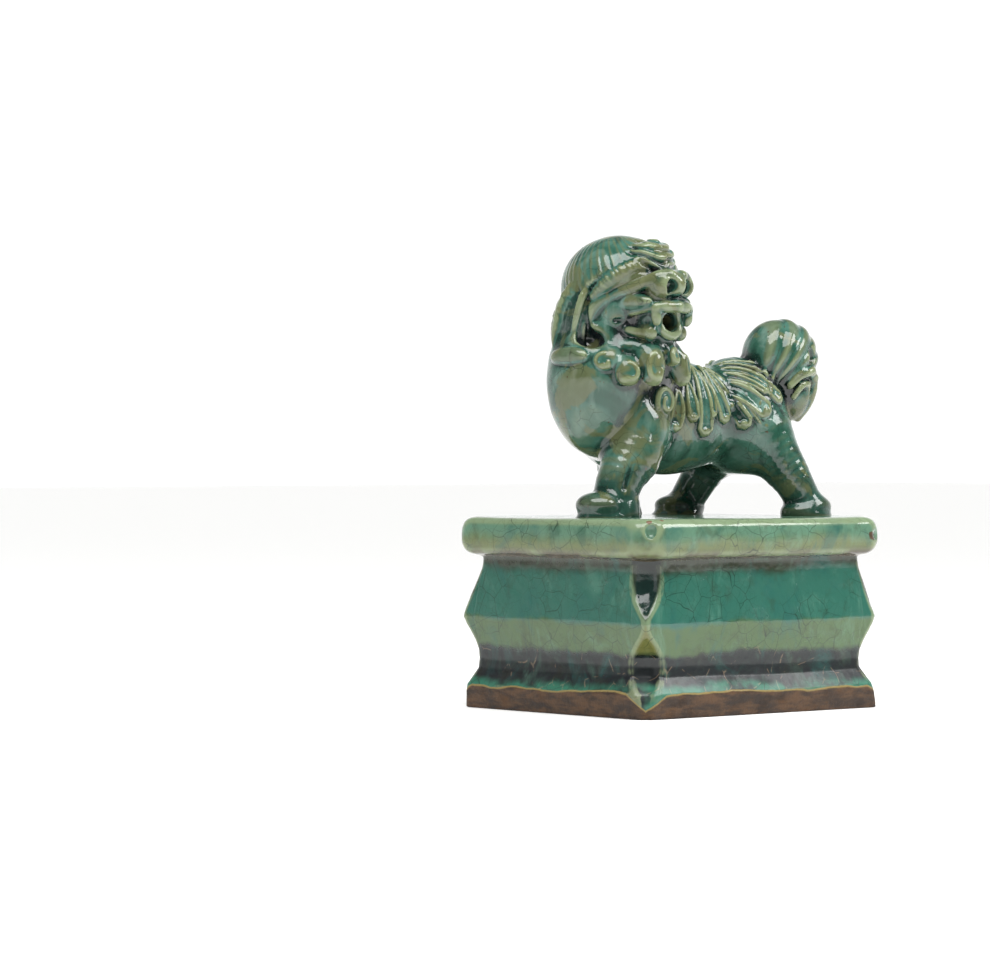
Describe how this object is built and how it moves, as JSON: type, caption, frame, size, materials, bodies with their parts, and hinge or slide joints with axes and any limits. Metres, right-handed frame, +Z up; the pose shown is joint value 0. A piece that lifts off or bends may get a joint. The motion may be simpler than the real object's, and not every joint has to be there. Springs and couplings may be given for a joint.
{
  "type": "foo dog statue",
  "caption": "Glazed ceramic guardian dog walking on a waisted rectangular plinth, its curly-maned head turned to one side.",
  "frame": {"origin": "centre of the plinth's foot, on the surface that it stands on", "axes": "+Z up; the dog's body points along -X; its turned face and the long front panel look along -Y"},
  "size_m": [0.1424, 0.125, 0.2025],
  "materials": {
    "body_glaze": "glossy green lead glaze on fired clay, crackled, darker where it pools",
    "relief_glaze": "glossy glaze worn thin on raised clay, so that it shows olive yellow",
    "rim_glaze": "glossy green glaze, lighter towards the underside of the rim",
    "panel_glaze": "glossy teal to sage glaze over clay, slate where it pools, with a bare brown clay foot"
  },
  "bodies": {
    "root": {"plinth_top_slab": "rim_glaze", "plinth_front_panel": "panel_glaze", "plinth_back_panel": "panel_glaze", "plinth_head_end_panel": "panel_glaze", "plinth_tail_end_panel": "panel_glaze", "corner_strip_front_head": "panel_glaze", "corner_strip_front_tail": "panel_glaze", "corner_strip_back_head": "panel_glaze", "corner_strip_back_tail": "panel_glaze", "body_left_half": "body_glaze", "body_right_half": "body_glaze", "head_left_half": "body_glaze", "head_right_half": "body_glaze", "leg_front_left": "body_glaze", "paw_front_left": "body_glaze", "leg_front_right": "body_glaze", "paw_front_right": "body_glaze", "leg_rear_left": "body_glaze", "paw_rear_left": "body_glaze", "leg_rear_right": "body_glaze", "paw_rear_right": "body_glaze", "forelock": "body_glaze", "hair_cap": "body_glaze", "nose": "body_glaze", "lower_jaw": "body_glaze", "ear_left": "body_glaze", "ear_right": "body_glaze", "brow_left": "body_glaze", "brow_right": "body_glaze", "eye_left": "body_glaze", "eye_right": "body_glaze", "lip_roll_left": "body_glaze", "lip_roll_right": "body_glaze", "cheek_fold_left": "body_glaze", "cheek_fold_right": "body_glaze", "beard_curl_1": "relief_glaze", "beard_curl_2": "relief_glaze", "beard_curl_3": "relief_glaze", "beard_curl_4": "relief_glaze", "beard_curl_5": "relief_glaze", "beard_curl_6": "relief_glaze", "tail_plume": "body_glaze", "tail_tip": "relief_glaze", "shoulder_curl_left": "relief_glaze", "shoulder_curl_right": "relief_glaze", "mane_lock_left_1": "relief_glaze", "mane_lock_left_2": "relief_glaze", "mane_lock_right_2": "relief_glaze", "mane_lock_left_3": "relief_glaze", "mane_lock_right_3": "relief_glaze", "mane_lock_left_4": "relief_glaze", "mane_lock_right_4": "relief_glaze", "mane_lock_left_5": "relief_glaze", "mane_lock_right_5": "relief_glaze", "mane_lock_left_6": "relief_glaze", "mane_lock_right_6": "relief_glaze", "mane_lock_left_7": "relief_glaze", "mane_lock_right_7": "relief_glaze"}
  },
  "joints": []
}
